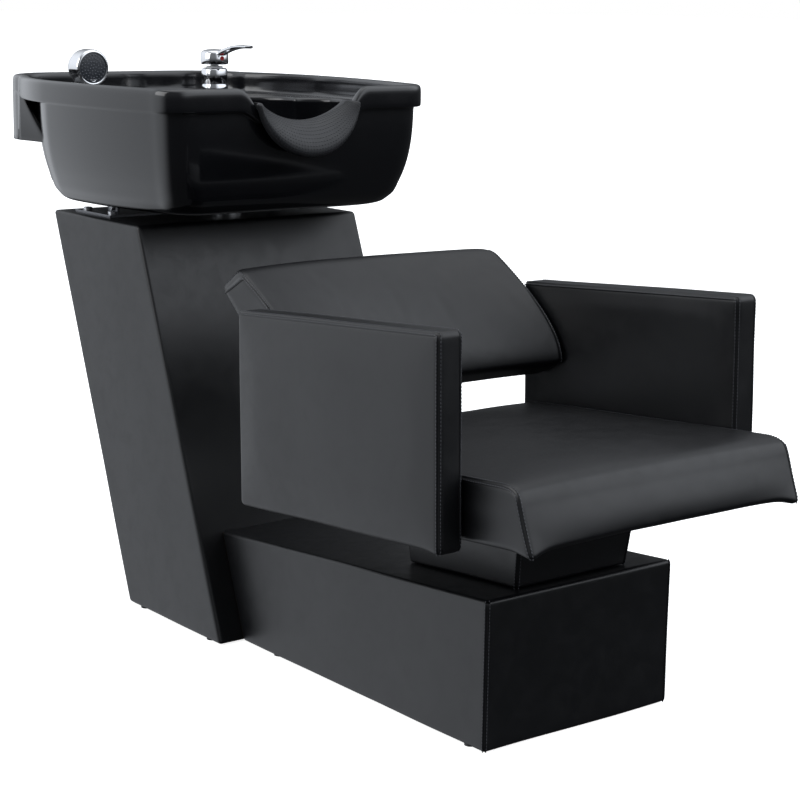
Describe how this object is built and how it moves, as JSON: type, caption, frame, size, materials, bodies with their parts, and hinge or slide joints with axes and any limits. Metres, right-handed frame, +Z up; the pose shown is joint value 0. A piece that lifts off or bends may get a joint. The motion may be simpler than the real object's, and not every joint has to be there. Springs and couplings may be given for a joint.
{
  "type": "shampoo backwash unit",
  "caption": "Black salon shampoo chair on a plinth, joined to a leaning column that carries a tilting basin with neck rest, mixer tap and hand shower.",
  "frame": {"origin": "on the floor, below the middle of the whole unit", "axes": "+Z up, +Y from the seat towards the basin, so the sitter faces -Y, +X to the sitter's left"},
  "size_m": [0.559, 1.373, 0.8712],
  "materials": {
    "leatherette": "satin grained synthetic leather over foam, black",
    "plywood": "raw birch plywood",
    "panel_board": "black lacquered hardboard",
    "glide_plastic": "moulded black plastic",
    "zinc_steel": "zinc plated",
    "bracket_steel": "bright plated sheet steel",
    "bowl_plastic": "high gloss black moulding",
    "neck_rubber": "soft black rubber with raised dots",
    "gasket_rubber": "black rubber",
    "chrome": "polished chrome",
    "white_plastic": "white moulded plastic",
    "holder_plastic": "black moulded plastic",
    "spray_plastic": "black plastic with soft nozzles",
    "cartridge": "dark moulded plastic",
    "red_mark": "red plastic button"
  },
  "bodies": {
    "stand": {"arm_bolts": "zinc_steel", "arm_core_left": "plywood", "arm_core_right": "plywood", "arm_pad_left": "leatherette", "arm_pad_right": "leatherette", "back_bolts": "zinc_steel", "back_plate_left": "zinc_steel", "back_plate_right": "zinc_steel", "backrest_pad": "leatherette", "backrest_shell": "plywood", "base_plate_bolts": "zinc_steel", "column_cover": "leatherette", "column_front_board": "plywood", "column_lower_rail": "plywood", "column_side_left": "plywood", "column_side_right": "plywood", "column_top_board": "plywood", "column_upper_rail": "plywood", "floor_glides": "glide_plastic", "pedestal_cover": "leatherette", "pedestal_frame": "plywood", "pivot_bolts": "zinc_steel", "pivot_nuts": "zinc_steel", "plinth_cover": "leatherette", "plinth_floor_board": "plywood", "plinth_front_board": "plywood", "plinth_side_left": "plywood", "plinth_side_right": "plywood", "plinth_top_board": "plywood", "seat_board": "plywood", "seat_cushion": "leatherette", "service_panel": "panel_board", "service_screws": "zinc_steel", "tilt_base_plate": "bracket_steel"},
    "bowl": {"bowl": "bowl_plastic", "neck_rest": "neck_rubber", "bowl_cradle": "bracket_steel", "cradle_screws": "zinc_steel", "drain_flange": "chrome", "drain_gasket": "gasket_rubber", "drain_nut": "white_plastic", "drain_tailpiece": "white_plastic", "mixer_gasket": "glide_plastic", "mixer_body": "chrome", "mixer_nut": "zinc_steel", "shower_holder": "holder_plastic"},
    "cartridge": {"cartridge_stem": "cartridge"},
    "mixer_handle": {"mixer_handle": "chrome", "temperature_mark": "red_mark"},
    "handset": {"handset": "chrome", "spray_face": "spray_plastic"},
    "strainer": {"hair_strainer": "chrome"}
  },
  "joints": [
    {"name": "bowl_tilt", "type": "hinge", "parent": "stand", "child": "bowl", "pos_m": [0, 0.415, 0.6175], "axis": [1, 0, 0], "range_deg": [-5, 5]},
    {"name": "mixer_swivel", "type": "hinge", "parent": "bowl", "child": "cartridge", "pos_m": [0.121, 0.539, 0.8335], "axis": [0, 0, 1], "range_deg": [-45, 45]},
    {"name": "lever_lift", "type": "hinge", "parent": "cartridge", "child": "mixer_handle", "pos_m": [0.121, 0.545, 0.84], "axis": [-1, 0, 0], "range_deg": [0, 14]},
    {"name": "handset_pull", "type": "slide", "parent": "bowl", "child": "handset", "axis": [0, -0.5736, 0.8192], "range_m": [0, 0.12]},
    {"name": "strainer_lift", "type": "slide", "parent": "bowl", "child": "strainer", "axis": [0, 0, 1], "range_m": [0, 0.08]}
  ]
}
